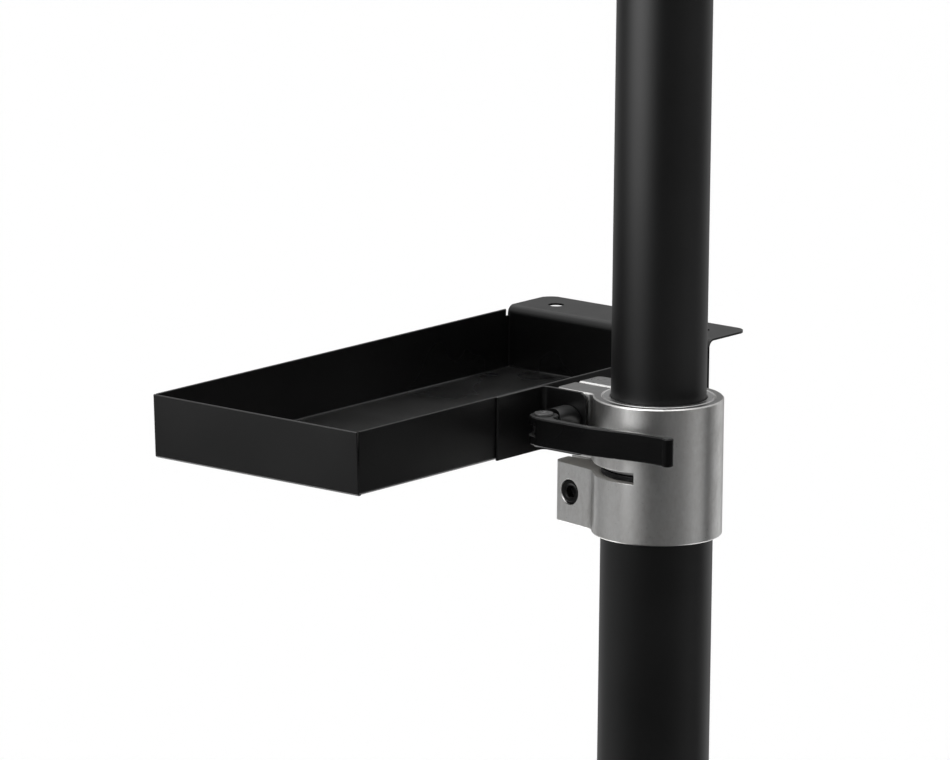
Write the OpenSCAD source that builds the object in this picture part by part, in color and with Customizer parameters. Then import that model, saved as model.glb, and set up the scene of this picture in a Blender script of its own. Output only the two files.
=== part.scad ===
// Bike repair stand: heavy base plate, telescopic column with a clamp collar and a tool tray,
// and a rotating clamp head. Origin on the floor at the column's axis, millimetres, +Z up.
// The tool tray hangs on the -X side, the clamp head reaches out to +X.

/* [Base] */
// Length of the base plate along X
base_l = 560; // [480:10:700]
// Width of the base plate along Y
base_w = 460; // [400:10:600]
// Thickness of the base plate
base_t = 12; // [8:1:20]
// Distance from the column to the middle of the plate
base_shift = 90; // [60:5:120]
// Diameter of the four anchor holes
anchor_d = 11; // [7:1:14]

/* [Column] */
// Outside diameter of the lower tube
lower_d = 60; // [60:1:62]
// Outside diameter of the upper tube
upper_d = 51; // [48:1:51]
// Height of the collar's top face above the floor
collar_top = 900; // [800:5:950]
// Length of the upper tube
upper_l = 752; // [700:1:800]
// Length of the upper tube hidden in the lower tube
insertion = 222; // [150:1:300]

/* [Clamp collar] */
// Height of the collar
collar_h = 74; // [70:1:78]
// Thickness of the collar's ring
collar_wall = 4.85; // [4:0.05:5]
// Distance from the column's axis to the end of the upper ear
ear_reach = 55; // [54:0.5:56]
// Distance from the column's axis to the end of the lower ear
clamp_reach = 59; // [58:0.5:60]
// Angle at which each lug of the lower ear tapers
clamp_taper = 11; // [6:1:12]
// Distance from the column's axis to the clamp screw
screw_x = 46.2; // [45:0.1:47]
// Width of the ears across both lugs
ear_w = 38; // [36:1:38]
// Width of the clamping slit
slit_w = 3; // [2:0.5:4]
// Depth of the horizontal saw cut below the top face
cut_depth = 35.1; // [34:0.1:36]
// Height of the horizontal saw cut
cut_h = 6.2; // [5:0.1:7]

/* [Cam lever] */
// Distance from the column's axis to the skewer
skewer_x = 44.3; // [44:0.1:45]
// Depth of the skewer below the collar's top face
skewer_depth = 17.5; // [17:0.1:18]
// Distance from the column's axis to the lever's pivot pin
pivot_y = 42.3; // [42:0.1:43]
// Height of the lever
lever_h = 15.2; // [14:0.1:16]
// Thickness of the lever's arm
lever_t = 5.5; // [4.5:0.1:6]
// Radius of the lever's round head
lever_head_r = 8; // [7.6:0.1:8.1]
// Diameter of the saddle that the lever's head turns in
saddle_d = 19.2; // [18.6:0.2:20]

/* [Tool tray] */
// Length of the tray along Y
tray_l = 302.7; // [250:0.1:350]
// Width of the tray along X
tray_w = 140.6; // [100:0.1:180]
// Height of the tray's walls
tray_h = 34.6; // [30:0.1:50]
// Sheet thickness of the tray
tray_t = 1.2; // [1:0.1:1.8]
// How far the near end wall leans out at its top
tray_lean = 1.9; // [1.9:0.1:4]
// Distance from the column's axis to the tray's near wall
tray_gap = 62.9; // [62:0.1:64]
// Depth of the screwdriver shelf behind the tray
shelf_l = 36; // [30:0.5:60]
// Number of screwdriver holes
driver_holes = 3; // [1:1:3]
// Diameter of the screwdriver holes
driver_d = 9; // [6:0.5:12]

/* [Clamp head] */
// Distance from the column's axis to the clamped tube
jaw_x = 215; // [210:1:240]
// Diameter of the tube that the jaws hold at rest
held_d = 31.6; // [27:0.1:34]
// Travel of the moving jaw
jaw_travel = 40; // [20:1:40]
// Diameter of the rotating arm
arm_d = 35; // [30:1:36]
// Rim diameter of the handwheel
wheel_d = 88; // [70:1:100]

/* [Hidden] */
$fn = 64;
eps = 0.01;
static_gap = 0.02;
run_gap = 0.05;

lower_r = lower_d / 2;
lower_bore = lower_r - 3;
upper_r = upper_d / 2;
upper_bore = upper_r - 2.5;

flange_r = 75;
flange_t = 12;
flange_top = base_t + flange_t;
spigot_h = 106;
flange_bolt_r = 58;
anchor_inset = 35;
column_screw_z = flange_top + 46;

collar_r = lower_r + collar_wall;
collar_bottom = collar_top - collar_h;
cut_top = collar_top - cut_depth;
cut_bottom = cut_top - cut_h;
cut_end_x = 9.7;
chamfer = 1.2;
ear_corner = 4;
ear_fillet = 6;
clamp_corner = 6;
clamp_fillet = 8;
screw_depth = 56.4;
screw_seat_y = -7.6;
screw_head_r = 6.5;
screw_head_h = 8;

bracket_t = 1.6;
bracket_far_y = -60;
bracket_bend = 4;
leg_outer_y = -ear_w / 2 - bracket_t;
skewer_z = collar_top - skewer_depth;
skewer_r = 3;
eye_r = 5.8;
eye_h = 6;
pin_r = 3;
pin_head_r = 5.2;
pin_head_t = 1.4;
cam_offset = 0.4;
cup_r = lever_head_r + cam_offset + 0.2;
arm_outer_y = -6.3;
arm_rise = 6.3;
arm_tip_x = 83.8;

tray_x = -tray_gap - tray_w;
tray_y = -175.3;
tray_foot_y = tray_y + tray_lean;
tray_far_y = tray_y + tray_l;
tray_z = collar_top - tray_h;
shelf_rise = 1.6;
shelf_bend = 3.5;
shelf_z = collar_top + shelf_rise;
driver_pitch = 51;
driver_first_x = -184;
driver_y = tray_far_y + 17.6;

upper_z = cut_top - 3.4 - insertion;
upper_top = upper_z + upper_l;
guide_h = 24;
guide_play = 0.3;
plug_flange_t = 4;

head_z = upper_top + 38;
socket_r = 31;
barrel_r = 33;
barrel_l = 84;
arm_r = arm_d / 2;
bush_wall = 3;
lock_rise = 43;
lug_w = 28;
housing_bottom = upper_top - 57;
arm_start = -56;

frame_x = 150;
frame_wall = 12;
frame_hub_r = 25;
frame_half_h = 32;
rod_x = 182;
rod_r = 5;
rod_rise = 20;
spindle_r = 7;
held_r = held_d / 2;
pad_gap = 5.4;
pad_t = 20.6;
pad_w = 44;
pad_h = 60;
jaw_back = pad_gap + pad_t;
jaw_t = 18;
jaw_outer = jaw_back + jaw_t;
jaw_tip = jaw_x + 25;
bearing_t = 13;
shoulder_t = 5;
bearing_y = -jaw_outer - jaw_travel - shoulder_t - 2;
wheel_r = wheel_d / 2;
wheel_y = bearing_y - bearing_t - 14;
knob_l = 38;

// ---- shared shapes ----

// A cylinder from z = 0 with both rims chamfered by c
module turned(r, h, c) {
    rotate_extrude()
        polygon([[0, 0], [r - c, 0], [r, c], [r, h - c], [r - c, h], [0, h]]);
}

// A pipe from z = 0
module pipe(r_out, r_in, h) {
    difference() {
        cylinder(r = r_out, h = h);
        translate([0, 0, -1]) cylinder(r = r_in, h = h + 2);
    }
}

// A rectangle about the origin with four round corners
module round_rect(l, w, r) {
    square([l - 2 * r, w], center = true);
    square([l, w - 2 * r], center = true);
    for (x = [-1, 1], y = [-1, 1])
        translate([x * (l / 2 - r), y * (w / 2 - r)]) circle(r = r);
}

// Turns what lies along +Z so that it lies along +X, +Y or -Y
module to_x() rotate([0, 90, 0]) children();
module to_y() rotate([-90, 0, 0]) children();
module to_minus_y() rotate([90, 0, 0]) children();

// A socket-head screw: the shank lies along -Z under a head that stands on z = 0
module cap_screw(r, shank, head_r, head_h, key) {
    difference() {
        union() {
            turned(head_r, head_h, 0.6);
            translate([0, 0, -shank]) cylinder(r = r, h = shank + 1);
        }
        translate([0, 0, head_h / 2]) cylinder(r = key, h = head_h, $fn = 6);
    }
}

// ---- base ----

module anchor_places() {
    for (x = [-1, 1], y = [-1, 1])
        translate([base_shift + x * (base_l / 2 - anchor_inset), y * (base_w / 2 - anchor_inset)])
            children();
}

module flange_bolt_places() {
    for (a = [45 : 90 : 315])
        rotate(a) translate([flange_bolt_r, 0]) children();
}

module base_plate() {
    color("#26272a") difference() {
        translate([base_shift, 0, 0])
            linear_extrude(base_t) round_rect(base_l, base_w, 45);
        anchor_places() translate([0, 0, -1]) cylinder(d = anchor_d, h = base_t + 2);
        flange_bolt_places() translate([0, 0, -1]) cylinder(r = 5 + run_gap, h = base_t + 2);
    }
}

module base_flange() {
    color("#26272a") difference() {
        union() {
            translate([0, 0, base_t]) turned(flange_r, flange_t, 2);
            translate([0, 0, base_t]) cylinder(r = lower_bore - run_gap, h = flange_t + spigot_h);
        }
        translate([0, 0, base_t - 1]) cylinder(r = 20, h = flange_t + spigot_h + 2);
        flange_bolt_places() translate([0, 0, base_t - 1]) cylinder(r = 5.3, h = flange_t + 2);
        column_screw_places() cylinder(r = 4 + run_gap, h = 20);
    }
}

module flange_bolts() {
    color("#3a3b3d") flange_bolt_places() translate([0, 0, flange_top])
        cap_screw(5, flange_top - 2, 8, 10, 4.6);
}

// Radial screws that fix the lower tube on the spigot, each along +Z from inside the wall
module column_screw_places() {
    for (a = [0, 180])
        rotate(a) translate([lower_bore - 8, 0, column_screw_z]) to_x() children();
}

module column_screws() {
    color("#3a3b3d") column_screw_places() translate([0, 0, 11 + run_gap])
        cap_screw(4, 10, 6.5, 5, 2.9);
}

module lower_tube() {
    color("#1f2022") difference() {
        translate([0, 0, flange_top]) pipe(lower_r, lower_bore, cut_top - 3.4 - flange_top);
        column_screw_places() cylinder(r = 4 + run_gap, h = 20);
    }
}

// ---- clamp collar ----

// Where a fillet of radius r between a lug's face and the ring has its centre, on the -Y side
function fillet_centre(r) =
    let (y = -ear_w / 2 - r)
    [-sqrt(pow(collar_r + r, 2) - y * y), y];

module ear_fillet_2d(r) {
    centre = fillet_centre(r);
    tangent = collar_r / (collar_r + r);
    difference() {
        polygon([[centre[0], -ear_w / 2 + 1], centre, centre * (tangent - 0.02),
            [centre[0] * 0.7, centre[1] * 0.6]]);
        translate(centre) circle(r = r - run_gap);
    }
}

module upper_ear_2d() {
    length = ear_reach - lower_r + 8;
    translate([-ear_reach + length / 2, 0]) round_rect(length, ear_w, ear_corner);
    ear_fillet_2d(ear_fillet);
    mirror([0, 1]) ear_fillet_2d(ear_fillet);
}

// The lower ear's lugs taper towards its end, which has large round corners
module lower_ear_2d() {
    root = [fillet_centre(clamp_fillet)[0], -ear_w / 2];
    corner_x = clamp_corner - clamp_reach;
    corner = [corner_x, root[1] + (root[0] - corner_x) * tan(clamp_taper)
        + clamp_corner / cos(clamp_taper)];
    side = [root, corner - clamp_corner * [sin(clamp_taper), cos(clamp_taper)],
        corner - [clamp_corner, 0]];
    polygon(concat([[-lower_r + 8, -ear_w / 2]], side,
        [for (i = [2 : -1 : 0]) [side[i][0], -side[i][1]]], [[-lower_r + 8, ear_w / 2]]));
    for (m = [0, 1]) mirror([0, m]) {
        translate(corner) circle(r = clamp_corner);
        ear_fillet_2d(clamp_fillet);
    }
}

module collar() {
    bore = lower_r + static_gap;
    color("#b4b7ba") difference() {
        union() {
            translate([0, 0, collar_bottom]) turned(collar_r, collar_h, chamfer);
            translate([0, 0, cut_bottom + 1])
                linear_extrude(cut_depth + cut_h - 1) upper_ear_2d();
            translate([0, 0, collar_bottom])
                linear_extrude(cut_bottom + 1 - collar_bottom) lower_ear_2d();
        }
        translate([0, 0, collar_bottom - 1]) cylinder(r = bore, h = collar_h + 2);
        translate([-clamp_reach - 5, -slit_w / 2, collar_bottom - 1])
            cube([clamp_reach - 15, slit_w, collar_h + 2]);
        translate([-clamp_reach - 5, -collar_r - 5, cut_bottom])
            cube([clamp_reach + 5 + cut_end_x, 2 * collar_r + 10, cut_h]);
        translate([-skewer_x, -ear_w / 2 - 1, skewer_z]) to_y() cylinder(r = 3.3, h = ear_w + 2);
        translate([-screw_x, screw_seat_y, collar_top - screw_depth]) {
            to_y() translate([0, 0, -1]) cylinder(r = 4 + run_gap, h = ear_w);
            to_minus_y() cylinder(r = screw_head_r + 0.25, h = ear_w / 2);
        }
    }
}

module collar_bush() {
    height = cut_depth + 3;
    color("#9fa2a5") translate([0, 0, collar_top - height]) difference() {
        rotate_extrude() polygon([
            [upper_r + run_gap, 0], [lower_r - 0.4, 0], [lower_r, 0.4], [lower_r, height - 0.8],
            [lower_r - 0.8, height], [upper_r + run_gap + 0.8, height],
            [upper_r + run_gap, height - 0.8]]);
        translate([-lower_r - 1, -1, -1]) cube([lower_r - upper_r + 3, 2, height + 2]);
    }
}

module collar_screw() {
    color("#2b2c2e") translate([-screw_x, screw_seat_y, collar_top - screw_depth])
        to_minus_y() cap_screw(4, 22, screw_head_r, screw_head_h, 3.5);
}

// ---- skewer and cam lever ----

module skewer() {
    color("#8d9092") translate([-skewer_x, -pivot_y, skewer_z]) difference() {
        union() {
            translate([0, 0, -eye_h / 2]) cylinder(r = eye_r, h = eye_h);
            to_y() cylinder(r = skewer_r, h = pivot_y + ear_w / 2 + 8);
        }
        translate([0, 0, -eye_h]) cylinder(r = pin_r + static_gap, h = 2 * eye_h);
    }
}

module skewer_nut() {
    washer_t = 1.4;
    nut_t = 9;
    color("#2b2c2e") translate([-skewer_x, ear_w / 2 + run_gap, skewer_z]) to_y() difference() {
        union() {
            cylinder(r = 7, h = washer_t);
            translate([0, 0, washer_t - eps]) cylinder(r = 5.8, h = nut_t, $fn = 6);
            translate([0, 0, washer_t + nut_t - 2]) turned(4.9, 5, 2);
        }
        translate([0, 0, -1]) cylinder(r = skewer_r + static_gap, h = 10);
    }
}

module cam_saddle() {
    lip_y = -pivot_y + 3.4;
    color("#232426") translate([-skewer_x, 0, skewer_z]) difference() {
        translate([0, lip_y, 0]) to_y()
            cylinder(d = saddle_d, h = leg_outer_y - run_gap - lip_y);
        translate([0, -pivot_y, -lever_h]) cylinder(r = cup_r, h = 2 * lever_h);
        translate([0, -pivot_y, 0]) to_y() cylinder(r = skewer_r + 0.3, h = pivot_y);
    }
}

module cam_pin() {
    reach = lever_h / 2 + run_gap + pin_head_t;
    color("#6f7274") translate([-skewer_x, -pivot_y, skewer_z]) {
        translate([0, 0, -reach]) cylinder(r = pin_r, h = 2 * reach);
        for (side = [0, 1]) mirror([0, 0, side])
            translate([0, 0, reach - pin_head_t]) turned(pin_head_r, pin_head_t, 0.4);
    }
}

// Height of the arm's outer side over its length: straight, a soft S, then straight again
function arm_line(x) =
    let (u = min(1, max(0, (x - 30) / 44)))
    arm_outer_y - lever_t / 2 + arm_rise * u * u * (3 - 2 * u);

module lever_2d() {
    steps = 20;
    xs = [for (i = [0 : steps]) arm_tip_x * i / steps];
    translate([0, cam_offset]) circle(r = lever_head_r);
    polygon(concat(
        [for (x = xs) [x, arm_line(x)]],
        [for (i = [steps : -1 : 0]) [xs[i], arm_line(xs[i]) + lever_t]]));
    translate([arm_tip_x, arm_line(arm_tip_x) + lever_t / 2]) circle(r = lever_t / 2 + 0.4);
}

module cam_lever() {
    slot_h = eye_h + 0.4;
    color("#1d1e20") translate([-skewer_x, -pivot_y, skewer_z]) difference() {
        translate([0, 0, -lever_h / 2]) linear_extrude(lever_h) lever_2d();
        translate([-20, -6, -slot_h / 2]) cube([31, 20, slot_h]);
        translate([-20, -20, -slot_h / 2]) cube([21, 20, slot_h]);
        translate([0, 0, -lever_h]) cylinder(r = pin_r + run_gap, h = 2 * lever_h);
    }
}

// ---- tool tray ----

// The bracket's plan: a plate on the tray's wall and a leg on the near lug
module bracket_2d() {
    x = -tray_gap + run_gap;
    r = bracket_bend;
    leg_end = -33;
    translate([x, bracket_far_y]) square([bracket_t, -bracket_far_y - ear_w / 2 - r]);
    translate([x + r, leg_outer_y - run_gap])
        square([leg_end - x - r, bracket_t]);
    translate([x + r, -ear_w / 2 - run_gap - r]) intersection() {
        difference() {
            circle(r = r);
            circle(r = r - bracket_t);
        }
        translate([-r, 0]) square(r);
    }
}

module tray_bracket() {
    color("#202123") difference() {
        translate([0, 0, tray_z]) linear_extrude(tray_h) bracket_2d();
        translate([-skewer_x, leg_outer_y - 1, skewer_z]) to_y() cylinder(r = 3.3, h = 5);
    }
}

// The far wall's bend and the shelf, in the plane of Y and height
module shelf_2d() {
    outer = shelf_bend + tray_t;
    centre = [tray_far_y + shelf_bend, shelf_z - outer];
    translate([tray_far_y - tray_t, tray_z]) square([tray_t, centre[1] - tray_z]);
    translate(centre) intersection() {
        difference() {
            circle(r = outer);
            circle(r = shelf_bend);
        }
        translate([-outer, 0]) square(outer);
    }
    translate([centre[0], shelf_z - tray_t]) square([shelf_l - shelf_bend, tray_t]);
}

// The floor and both side walls, with a relief notch for the far wall's bend
module tray_trough() {
    bend_z = shelf_z - shelf_bend - tray_t;
    length = tray_far_y - tray_foot_y;
    difference() {
        translate([tray_x, tray_foot_y, tray_z]) cube([tray_w, length, tray_h]);
        translate([tray_x + tray_t, tray_foot_y - 1, tray_z + tray_t])
            cube([tray_w - 2 * tray_t, length + 2, tray_h]);
        translate([tray_x - 1, tray_far_y - 6, bend_z]) cube([tray_w + 2, 10, tray_h]);
    }
}

// The near end wall leans out, so its seams with the side walls open towards the top
module tray_end_wall() {
    translate([tray_x, 0, 0]) rotate([90, 0, 90]) linear_extrude(tray_w) polygon([
        [tray_foot_y, tray_z], [tray_foot_y + tray_t, tray_z],
        [tray_y + tray_t, collar_top], [tray_y, collar_top]]);
}

module tool_tray() {
    color("#1b1c1e") difference() {
        union() {
            tray_trough();
            tray_end_wall();
            intersection() {
                translate([tray_x, 0, 0]) rotate([90, 0, 90]) linear_extrude(tray_w) shelf_2d();
                translate([tray_x + tray_w / 2, tray_far_y + shelf_l - 40, tray_z - 1])
                    linear_extrude(tray_h + 20) round_rect(tray_w, 80, 8);
            }
        }
        for (i = [0 : driver_holes - 1])
            translate([driver_first_x + i * driver_pitch, driver_y, shelf_z - 5])
                cylinder(d = driver_d, h = 10);
    }
}

// ---- upper tube and its guide ----

module upper_tube() {
    color("#1f2022") translate([0, 0, upper_z]) pipe(upper_r, upper_bore, upper_l);
}

module guide_ring() {
    color("#d9d6cc") translate([0, 0, upper_z + guide_play])
        pipe(lower_bore - run_gap, upper_r + run_gap, guide_h);
}

module guide_clip() {
    color("#7d8082") difference() {
        translate([0, 0, upper_z + guide_h + 2 * guide_play])
            pipe(lower_bore - 0.5, upper_r + static_gap, 1.5);
        translate([upper_r - 5, -3, upper_z]) cube([10, 6, 40]);
    }
}

module end_plug() {
    color("#2c2d2f") translate([0, 0, upper_z]) difference() {
        union() {
            translate([0, 0, -plug_flange_t]) cylinder(r = lower_bore - 0.5, h = plug_flange_t);
            translate([0, 0, -eps]) cylinder(r = upper_bore - static_gap, h = 25);
        }
        translate([0, 0, 4]) cylinder(r = upper_bore - 3, h = 30);
        translate([0, 0, -10]) cylinder(r = 4, h = 30);
    }
}

// ---- head housing ----

module housing_screw_places() {
    for (a = [90, 270])
        rotate(a) translate([upper_r - 2, 0, upper_top - 28]) to_x() children();
}

module head_housing() {
    lug_r = 12;
    color("#2a2b2d") difference() {
        union() {
            translate([0, 0, housing_bottom]) turned(socket_r, head_z - housing_bottom, 1.5);
            translate([-barrel_l / 2, 0, head_z]) to_x() turned(barrel_r, barrel_l, 1.5);
            translate([0, -lug_w / 2, head_z + lock_rise]) to_y() cylinder(r = lug_r, h = lug_w);
            translate([-lug_r, -lug_w / 2, head_z]) cube([2 * lug_r, lug_w, lock_rise]);
        }
        translate([0, 0, housing_bottom - 1])
            cylinder(r = upper_r + static_gap, h = upper_top - housing_bottom + 1.5);
        translate([-barrel_l, 0, head_z]) to_x()
            cylinder(r = arm_r + bush_wall + static_gap, h = 2 * barrel_l);
        translate([-barrel_l, -slit_w / 2, head_z]) cube([2 * barrel_l, slit_w, 2 * lock_rise]);
        translate([0, -lug_w, head_z + lock_rise]) to_y() cylinder(r = 4.3, h = 2 * lug_w);
        housing_screw_places() translate([0, 0, 2]) cylinder(r = 4 + run_gap, h = 20);
    }
}

module housing_screws() {
    color("#3a3b3d") housing_screw_places() translate([0, 0, socket_r - upper_r + 2 + run_gap])
        cap_screw(4, socket_r - upper_r - static_gap - 0.1, 6.5, 5, 2.9);
}

module head_bushes() {
    flange_t = 1.5;
    color("#d9d6cc") for (side = [0, 1]) mirror([side, 0, 0]) difference() {
        union() {
            translate([barrel_l / 2 - 26, 0, head_z]) to_x()
                cylinder(r = arm_r + bush_wall, h = 26);
            translate([barrel_l / 2 + run_gap, 0, head_z]) to_x()
                cylinder(r = arm_r + 7, h = flange_t);
            translate([barrel_l / 2 - 1, 0, head_z]) to_x()
                cylinder(r = arm_r + bush_wall, h = 2);
        }
        translate([0, 0, head_z]) to_x() cylinder(r = arm_r + run_gap, h = barrel_l);
        translate([0, -1, head_z]) cube([barrel_l, 2, 2 * lock_rise]);
    }
}

module lock_bolt() {
    color("#8d9092") translate([0, lug_w / 2, head_z + lock_rise]) {
        to_minus_y() cylinder(r = 4, h = lug_w + 22);
        to_y() turned(8, 6, 0.8);
        translate([0, -lug_w - 21.3, 0]) to_minus_y() turned(6.5, 3, 0.6);
    }
}

module lock_lever() {
    hub_r = 10;
    hub_h = 20;
    arm_l = 78;
    color("#1d1e20") translate([0, -lug_w / 2 - 1, head_z + lock_rise]) to_minus_y()
        difference() {
            union() {
                turned(hub_r, hub_h, 1.5);
                translate([-arm_l / 2, 0, hub_h - 12]) linear_extrude(10)
                    round_rect(arm_l, 11, 5.4);
                translate([-arm_l, 0, hub_h - 13]) turned(9, 12, 3);
            }
            translate([0, 0, -1]) cylinder(r = 4 + run_gap, h = hub_h + 2);
        }
}

// ---- rotating arm and jaws ----

module arm_shaft() {
    color("#a9acae") translate([arm_start, 0, head_z]) to_x()
        pipe(arm_r, arm_r - 4, frame_x - 2 - arm_start);
}

module shaft_collars() {
    collar_t = 10;
    inner = barrel_l / 2 + 2;
    color("#2b2c2e") for (side = [0, 1]) mirror([side, 0, 0])
        translate([inner, 0, head_z]) to_x() difference() {
            turned(arm_r + 9, collar_t, 1);
            translate([0, 0, -1]) cylinder(r = arm_r + static_gap, h = collar_t + 2);
        }
}

module shaft_plug() {
    color("#1d1e20") translate([arm_start, 0, head_z]) to_x() {
        translate([0, 0, -5]) turned(arm_r, 5, 2);
        translate([0, 0, -eps]) cylinder(r = arm_r - 4 - static_gap, h = 16);
    }
}

// The plate behind both jaws, the spindle's bearing and the fixed jaw, in plan
module frame_2d() {
    y0 = bearing_y - bearing_t;
    translate([frame_x, y0]) square([frame_wall, jaw_outer - y0]);
    translate([frame_x, y0]) square([rod_x + 16 - frame_x, bearing_t]);
    translate([frame_x, jaw_back]) square([jaw_tip - frame_x - 6, jaw_t]);
    translate([jaw_tip - 12, jaw_back]) square([12, jaw_t - 6]);
    translate([jaw_tip - 6, jaw_outer - 6]) circle(r = 6);
}

module rod_places() {
    for (side = [-1, 1])
        translate([rod_x, 0, head_z + side * rod_rise]) to_y() children();
}

module jaw_frame() {
    span = 400;
    color("#2a2b2d") difference() {
        union() {
            translate([0, 0, head_z - frame_half_h]) linear_extrude(2 * frame_half_h) frame_2d();
            translate([frame_x - 46, 0, head_z]) to_x() turned(frame_hub_r, 47, 1.5);
        }
        translate([frame_x - 60, 0, head_z]) to_x()
            cylinder(r = arm_r + static_gap, h = 60 - 2 + eps);
        rod_places() translate([0, 0, -span / 2]) cylinder(r = rod_r + static_gap, h = span);
        translate([rod_x, -span / 2, head_z]) to_y() cylinder(r = spindle_r + run_gap, h = span);
        frame_screw_places() translate([0, 0, 2]) cylinder(r = 4 + run_gap, h = 20);
    }
}

module frame_screw_places() {
    for (x = [frame_x - 33, frame_x - 15])
        translate([x, 0, head_z + arm_r - 2]) children();
}

module frame_screws() {
    color("#3a3b3d") frame_screw_places() translate([0, 0, frame_hub_r - arm_r + 2 + run_gap])
        cap_screw(4, frame_hub_r - arm_r - 0.6, 6.5, 5, 2.9);
}

module guide_rods() {
    y0 = bearing_y - bearing_t;
    color("#b9bcbe") rod_places() translate([0, 0, y0]) turned(rod_r, jaw_outer - y0, 0.5);
}

// A pad on the +Y side of the held tube, with its groove around that tube
module pad() {
    difference() {
        translate([jaw_x, jaw_back - pad_t / 2, head_z - pad_h / 2])
            linear_extrude(pad_h) round_rect(pad_w, pad_t, 4);
        translate([jaw_x, 0, head_z - pad_h]) cylinder(r = held_r, h = 2 * pad_h);
    }
}

module fixed_pad() color("#3f8f5f") pad();

module moving_pad() color("#3f8f5f") mirror([0, 1, 0]) pad();

module moving_jaw() {
    back_x = frame_x + frame_wall + 1;
    span = 200;
    color("#2a2b2d") difference() {
        translate([0, 0, head_z - frame_half_h + 2]) linear_extrude(2 * frame_half_h - 4) {
            translate([back_x, -jaw_outer]) square([jaw_tip - back_x - 6, jaw_t]);
            translate([jaw_tip - 12, -jaw_outer + 6]) square([12, jaw_t - 6]);
            translate([jaw_tip - 6, -jaw_outer + 6]) circle(r = 6);
        }
        rod_places() translate([0, 0, -span]) cylinder(r = rod_r + run_gap, h = span);
        translate([rod_x, -span, head_z]) to_y() cylinder(r = spindle_r + run_gap, h = span);
    }
}

module spindle() {
    end_y = jaw_outer - 1;
    color("#8d9092") translate([rod_x, 0, head_z]) to_y() difference() {
        union() {
            translate([0, 0, wheel_y - 8]) turned(spindle_r, end_y - wheel_y + 8, 0.8);
            translate([0, 0, bearing_y + 0.2]) turned(spindle_r + 3, shoulder_t, 0.6);
        }
        translate([0, 0, wheel_y - 9]) cylinder(r = 3 + static_gap, h = 14);
    }
}

module handwheel() {
    rim_r = 6;
    color("#1d1e20") translate([rod_x, wheel_y, head_z]) to_y() difference() {
        union() {
            rotate_extrude() translate([wheel_r - rim_r, 0]) circle(r = rim_r);
            translate([0, 0, -7]) turned(13, 20, 1.5);
            for (a = [30, 150, 270])
                rotate([0, 90, a]) cylinder(r = 4.5, h = wheel_r - rim_r);
        }
        translate([0, 0, -9]) cylinder(r = spindle_r + static_gap, h = 30);
        translate([wheel_r - rim_r, 0, -10]) cylinder(r = 3 + static_gap, h = 20);
    }
}

module wheel_screw() {
    color("#3a3b3d") translate([rod_x, wheel_y - 8 - static_gap, head_z]) to_minus_y()
        cap_screw(3, 12, 9, 3, 2.9);
}

module crank_place() {
    translate([rod_x + wheel_r - 6, wheel_y, head_z]) to_minus_y() children();
}

module crank_pin() {
    color("#8d9092") crank_place() {
        translate([0, 0, -6]) cylinder(r = 3, h = knob_l + 13);
        translate([0, 0, knob_l + 6.6]) turned(5, 2, 0.5);
    }
}

module crank_knob() {
    color("#1d1e20") crank_place() difference() {
        translate([0, 0, 6.3]) rotate_extrude() polygon([
            [0, 0], [7, 0], [8, 1], [9.5, knob_l * 0.55], [8.5, knob_l - 3],
            [6.5, knob_l], [0, knob_l]]);
        translate([0, 0, -1]) cylinder(r = 3 + run_gap, h = knob_l + 20);
    }
}

base_plate();
base_flange();
flange_bolts();
lower_tube();
column_screws();
collar();
collar_bush();
collar_screw();
skewer();
skewer_nut();
cam_saddle();
cam_pin();
cam_lever();
tray_bracket();
tool_tray();
upper_tube();
guide_ring();
guide_clip();
end_plug();
head_housing();
housing_screws();
head_bushes();
lock_bolt();
lock_lever();
arm_shaft();
shaft_collars();
shaft_plug();
jaw_frame();
frame_screws();
guide_rods();
fixed_pad();
moving_jaw();
moving_pad();
spindle();
handwheel();
wheel_screw();
crank_pin();
crank_knob();
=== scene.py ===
"""Looks of the bike repair stand: every CAD node gets a finished piece and a procedural material.

Lengths are in millimetres until loose() scales them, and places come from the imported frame.
"""
import math

import bmesh
import bpy
from mathutils import Matrix, Vector
from mathutils.geometry import tessellate_polygon


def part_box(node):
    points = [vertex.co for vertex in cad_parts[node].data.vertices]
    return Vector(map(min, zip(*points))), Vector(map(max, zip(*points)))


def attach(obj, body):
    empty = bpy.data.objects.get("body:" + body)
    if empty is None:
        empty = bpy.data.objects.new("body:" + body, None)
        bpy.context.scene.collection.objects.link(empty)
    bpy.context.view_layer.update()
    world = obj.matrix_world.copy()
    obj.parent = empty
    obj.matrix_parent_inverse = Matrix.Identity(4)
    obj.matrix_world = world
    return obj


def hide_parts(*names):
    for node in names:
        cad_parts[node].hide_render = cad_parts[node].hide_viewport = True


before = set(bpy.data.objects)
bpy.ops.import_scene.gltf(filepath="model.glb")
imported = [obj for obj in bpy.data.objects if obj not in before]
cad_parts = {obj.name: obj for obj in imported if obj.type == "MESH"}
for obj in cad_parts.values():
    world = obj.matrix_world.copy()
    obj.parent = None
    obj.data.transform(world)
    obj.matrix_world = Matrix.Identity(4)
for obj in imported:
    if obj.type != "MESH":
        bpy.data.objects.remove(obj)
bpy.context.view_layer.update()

MM = 0.001
TAU = 2 * math.pi
SHARP_ANGLE = math.radians(32)


def low(node):
    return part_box(node)[0] / MM


def high(node):
    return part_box(node)[1] / MM


def middle(node):
    return (low(node) + high(node)) / 2


def span(node, axis):
    return getattr(low(node), axis), getattr(high(node), axis)


# ---- sizes that the frame's boxes don't show ----

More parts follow.
